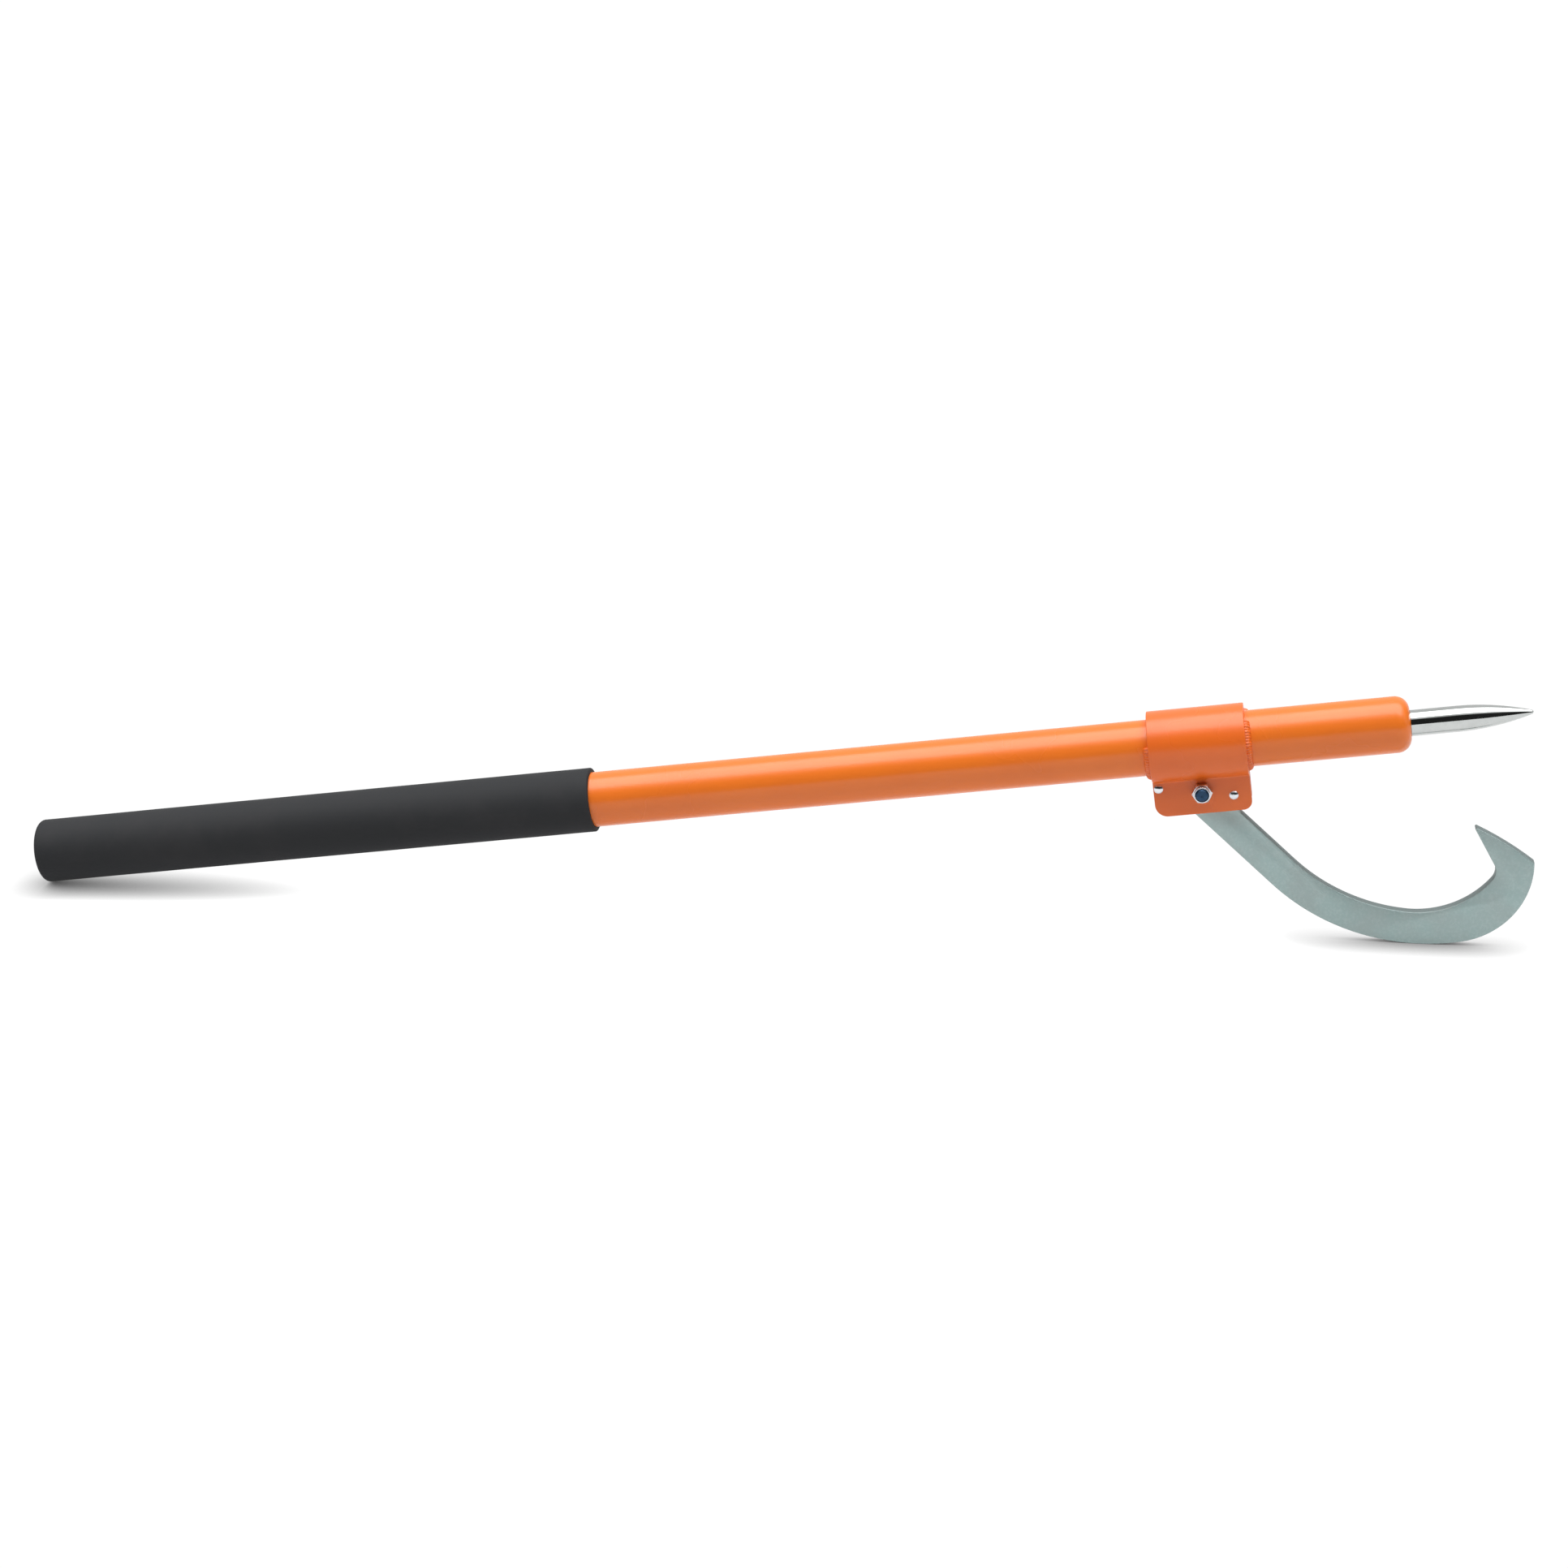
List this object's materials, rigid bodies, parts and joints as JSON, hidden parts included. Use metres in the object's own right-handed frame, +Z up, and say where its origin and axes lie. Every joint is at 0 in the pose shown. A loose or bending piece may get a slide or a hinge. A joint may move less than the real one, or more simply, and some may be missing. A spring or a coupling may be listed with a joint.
{
  "type": "peavey",
  "caption": "Log-rolling lever: tubular shaft with a closed rubber grip, a steel spike at the front end and a pointed hook that swings in a saddle under the shaft.",
  "frame": {"origin": "centre of the bounding box in X and Y, on the floor that the grip's rim and the hook's back rest on", "axes": "+X horizontally from the grip towards the spike, +Z up from the floor, the hook swings in the XZ plane; the shaft rises towards +X by its rest tilt"},
  "size_m": [1.2194, 0.0572, 0.2013],
  "materials": {
    "shaft_coat": "orange powder coat, satin gloss",
    "saddle_coat": "orange powder coat, satin gloss",
    "grip_rubber": "smooth matte black rubber",
    "plug_plastic": "moulded black plastic",
    "hook_steel": "zinc-plated steel plate, dull blue-grey",
    "spike_steel": "polished steel",
    "bright_zinc": "bright zinc-plated steel",
    "bolt_steel": "dark blued steel",
    "sleeve_steel": "plain steel, greased",
    "insert_nylon": "dark blue nylon"
  },
  "bodies": {
    "handle": {"shaft_tube": "shaft_coat", "butt_plug": "plug_plastic", "grip_sleeve": "grip_rubber", "nose_plug": "shaft_coat", "spike": "spike_steel", "saddle": "saddle_coat", "rear_weld": "saddle_coat", "front_weld": "saddle_coat", "pivot_sleeve": "sleeve_steel", "pivot_bolt": "bolt_steel", "pivot_nut": "bright_zinc", "nut_insert": "insert_nylon", "front_stop_rivet": "bright_zinc", "front_stop_spacer": "sleeve_steel", "rear_stop_rivet": "bright_zinc", "rear_stop_spacer": "sleeve_steel"},
    "hook": {"hook": "hook_steel"}
  },
  "joints": [
    {"name": "hook_pivot", "type": "hinge", "parent": "handle", "child": "hook", "pos_m": [0.34921, 0, 0.12159], "axis": [0, 1, 0], "range_deg": [0, 96]}
  ]
}
